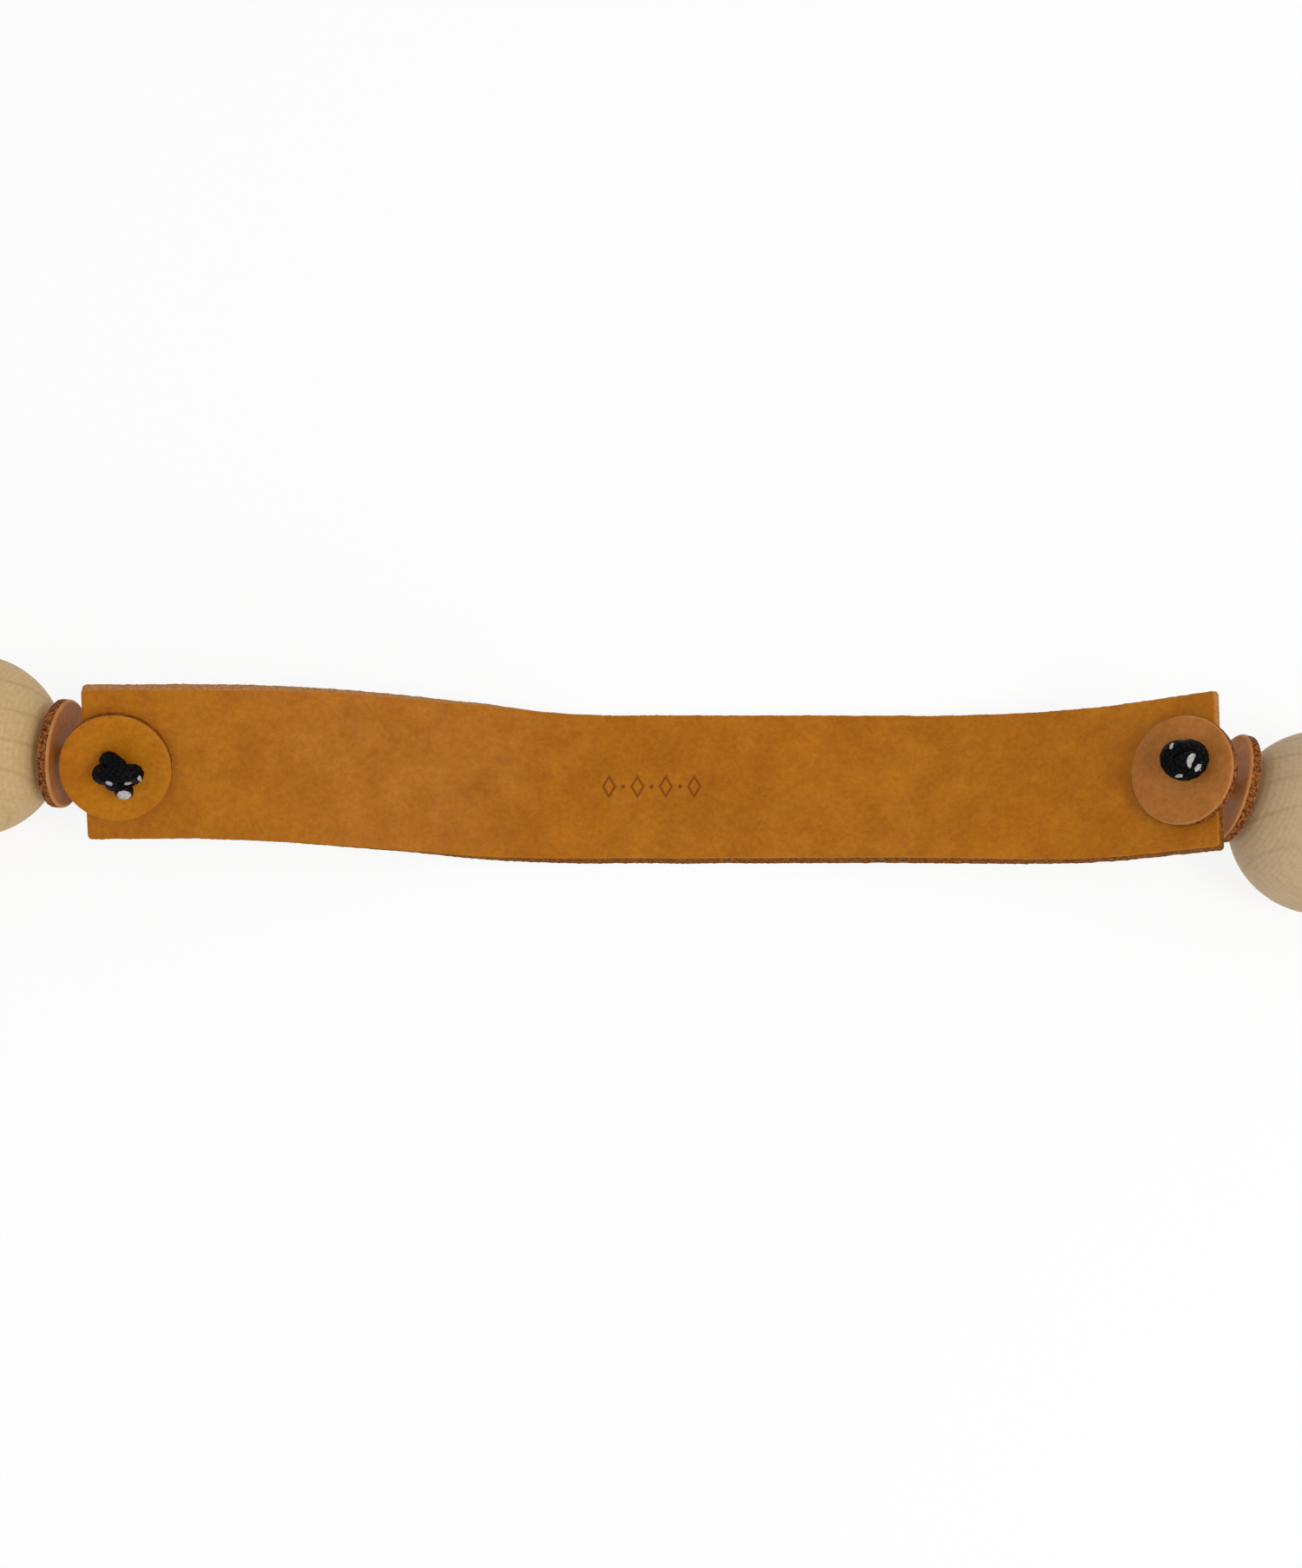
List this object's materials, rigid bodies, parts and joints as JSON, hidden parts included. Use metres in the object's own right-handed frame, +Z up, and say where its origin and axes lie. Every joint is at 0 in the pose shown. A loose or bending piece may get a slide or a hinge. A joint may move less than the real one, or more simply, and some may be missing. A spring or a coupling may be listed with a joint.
{
  "type": "ball-ended leather strap",
  "caption": "Curved saddle-leather shoulder strap with a drilled wooden ball corded to each end through punched leather discs and held by overhand knots.",
  "frame": {"origin": "centre of the strap's flat underside, on the surface the strap and the balls rest on", "axes": "+X along the strap to the right-hand ball, +Y across the strap away from the viewer, +Z up"},
  "size_m": [0.4354, 0.072, 0.0501],
  "materials": {
    "leather": "vegetable-tanned saddle leather, semi-gloss",
    "wood": "turned and oiled hardwood, satin",
    "cord": "braided waxed cord, matt black"
  },
  "bodies": {
    "strap": {"strap": "leather"},
    "end_left": {"cord_stem_left": "cord", "knot_left": "cord"},
    "front_disc_left": {"front_disc_left": "leather"},
    "cord_left": {"cord_run_left": "cord", "end_knot_left": "cord"},
    "back_disc_left": {"back_disc_left": "leather"},
    "ball_left": {"ball_left": "wood"},
    "end_right": {"cord_stem_right": "cord", "knot_right": "cord"},
    "front_disc_right": {"front_disc_right": "leather"},
    "cord_right": {"cord_run_right": "cord", "end_knot_right": "cord"},
    "back_disc_right": {"back_disc_right": "leather"},
    "ball_right": {"ball_right": "wood"}
  },
  "joints": [
    {"name": "knot_left_swivel", "type": "hinge", "parent": "strap", "child": "end_left", "pos_m": [-0.14594, -0.00355, 0.0345], "axis": [0.0985, -0.5705, 0.8154], "range_deg": [-20, 20]},
    {"name": "front_disc_left_spin", "type": "hinge", "parent": "strap", "child": "front_disc_left", "pos_m": [-0.14594, -0.00355, 0.0345], "axis": [0.0985, -0.5705, 0.8154], "continuous": true},
    {"name": "cord_left_swing", "type": "hinge", "parent": "end_left", "child": "cord_left", "pos_m": [-0.14655, -0.00001, 0.02944], "axis": [-0.0403, -0.821, -0.5695], "range_deg": [-4, 80]},
    {"name": "back_disc_left_spin", "type": "hinge", "parent": "cord_left", "child": "back_disc_left", "pos_m": [-0.16048, 0.0017, 0.02796], "axis": [-0.9871, 0.1212, -0.1049], "continuous": true},
    {"name": "ball_left_spin", "type": "hinge", "parent": "cord_left", "child": "ball_left", "pos_m": [-0.18832, 0.00512, 0.025], "axis": [-0.9871, 0.1212, -0.1049], "continuous": true},
    {"name": "knot_right_swivel", "type": "hinge", "parent": "strap", "child": "end_right", "pos_m": [0.14141, -0.0061, 0.03668], "axis": [-0.6194, -0.0681, 0.7821], "range_deg": [-4, 45]},
    {"name": "front_disc_right_spin", "type": "hinge", "parent": "strap", "child": "front_disc_right", "pos_m": [0.14141, -0.0061, 0.03668], "axis": [-0.6194, -0.0681, 0.7821], "continuous": true},
    {"name": "cord_right_swing", "type": "hinge", "parent": "end_right", "child": "cord_right", "pos_m": [0.14525, -0.00568, 0.03184], "axis": [0.3517, 0.8666, 0.354], "range_deg": [-2, 50]},
    {"name": "back_disc_right_spin", "type": "hinge", "parent": "cord_right", "child": "back_disc_right", "pos_m": [0.15341, -0.00833, 0.03022], "axis": [0.9346, -0.3037, -0.1851], "continuous": true},
    {"name": "ball_right_spin", "type": "hinge", "parent": "cord_right", "child": "ball_right", "pos_m": [0.17977, -0.01689, 0.025], "axis": [0.9346, -0.3037, -0.1851], "continuous": true}
  ]
}
